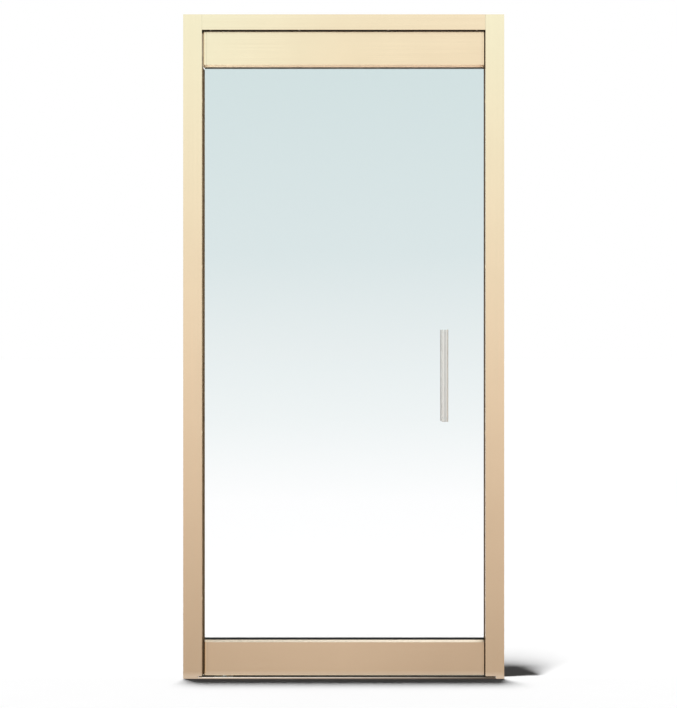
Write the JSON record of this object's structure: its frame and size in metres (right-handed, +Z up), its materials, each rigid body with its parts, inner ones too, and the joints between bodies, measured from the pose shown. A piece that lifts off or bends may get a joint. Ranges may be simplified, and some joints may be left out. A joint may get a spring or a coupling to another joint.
{
  "type": "electric door strike, as a framed glass entrance door",
  "caption": "Framed glass entrance door on centre pivots, with rails, straight pulls, a concealed overhead closer and an electric bolt strike in the head.",
  "frame": {"origin": "on the floor, at the middle of the frame's width and depth", "axes": "+Z up, +X from the pivot side to the strike side, -Y towards the side the leaf opens to"},
  "size_m": [1.057, 0.134, 2.1875],
  "materials": {
    "champagne_aluminium": "satin anodised, grain along each extrusion",
    "bronze_trim": "dark bronze, semi-matte",
    "clear_glass": "polished, faintly green-blue",
    "satin_stainless": "satin, brushed along its length",
    "steel": "turned and ground",
    "cast_metal": "fine cast grey",
    "gasket_rubber": "matte black",
    "brush_pile": "dense dark pile",
    "zinc_plate": "bright zinc-plated sheet",
    "coil_tape": "amber polyester tape",
    "circuit_board": "green solder resist"
  },
  "bodies": {
    "frame": {"pivot_jamb": "champagne_aluminium", "strike_jamb": "champagne_aluminium", "head_channel": "champagne_aluminium", "head_soffit_plate": "bronze_trim", "sill_plate": "champagne_aluminium", "bottom_pivot_base": "satin_stainless", "pivot_edge_seal_carrier": "bronze_trim", "pivot_edge_seal_brush": "brush_pile", "strike_edge_seal_carrier": "bronze_trim", "strike_edge_seal_brush": "brush_pile", "head_stop": "champagne_aluminium", "head_stop_seal": "brush_pile", "closer_body": "cast_metal", "closer_shaft_bush": "steel", "closer_spring_cap": "steel", "closer_spring": "steel", "strike_case": "zinc_plate", "strike_faceplate": "satin_stainless", "strike_bolt_guide": "cast_metal", "solenoid_coil": "coil_tape", "solenoid_yoke": "zinc_plate", "plunger_spring": "steel", "strike_control_board": "circuit_board"},
    "leaf": {"glass_panel": "clear_glass", "top_rail_body": "champagne_aluminium", "top_rail_front_cover": "champagne_aluminium", "top_rail_back_cover": "champagne_aluminium", "top_rail_pivot_cap": "champagne_aluminium", "top_rail_strike_cap": "champagne_aluminium", "bottom_rail_body": "champagne_aluminium", "bottom_rail_front_cover": "champagne_aluminium", "bottom_rail_back_cover": "champagne_aluminium", "bottom_rail_pivot_cap": "champagne_aluminium", "bottom_rail_strike_cap": "champagne_aluminium", "top_front_gasket": "gasket_rubber", "top_back_gasket": "gasket_rubber", "bottom_front_gasket": "gasket_rubber", "bottom_back_gasket": "gasket_rubber", "front_pull_tube": "satin_stainless", "front_pull_upper_cap": "satin_stainless", "front_pull_lower_cap": "satin_stainless", "front_pull_upper_post": "satin_stainless", "front_pull_lower_post": "satin_stainless", "back_pull_tube": "satin_stainless", "back_pull_upper_cap": "satin_stainless", "back_pull_lower_cap": "satin_stainless", "back_pull_upper_post": "satin_stainless", "back_pull_lower_post": "satin_stainless", "pull_upper_stud": "steel", "pull_lower_stud": "steel", "top_pivot_insert": "cast_metal", "closer_pinion_shaft": "steel", "bottom_pivot_shoe": "cast_metal", "bolt_receiver": "cast_metal", "bottom_sweep": "brush_pile"},
    "closer_piston": {"closer_piston": "steel"},
    "strike_bolt": {"strike_bolt": "satin_stainless", "strike_bolt_pin": "steel"},
    "solenoid_plunger": {"solenoid_plunger": "steel", "strike_cam_plate": "steel"}
  },
  "joints": [
    {"name": "leaf_swing", "type": "hinge", "parent": "frame", "child": "leaf", "pos_m": [-0.397, 0, 0], "axis": [0, 0, -1], "range_deg": [0, 105], "stiffness_Nm_per_rad": 15, "springref_deg": -34.38},
    {"name": "closer_piston_slide", "type": "slide", "parent": "frame", "child": "closer_piston", "axis": [1, 0, 0], "range_m": [0, 0.01467], "deforming": ["closer_spring"]},
    {"name": "solenoid_pull", "type": "slide", "parent": "frame", "child": "solenoid_plunger", "axis": [-1, 0, 0], "range_m": [0, 0.014], "stiffness_N_per_m": 200, "springref_m": -0.015, "deforming": ["plunger_spring"]},
    {"name": "bolt_drop", "type": "slide", "parent": "frame", "child": "strike_bolt", "axis": [0, 0, -1], "range_m": [0, 0.014]}
  ],
  "couplings": [
    {"joint": "closer_piston_slide", "follows": "leaf_swing", "m_per_rad": 0.008},
    {"joint": "bolt_drop", "follows": "solenoid_pull", "ratio": 1}
  ]
}
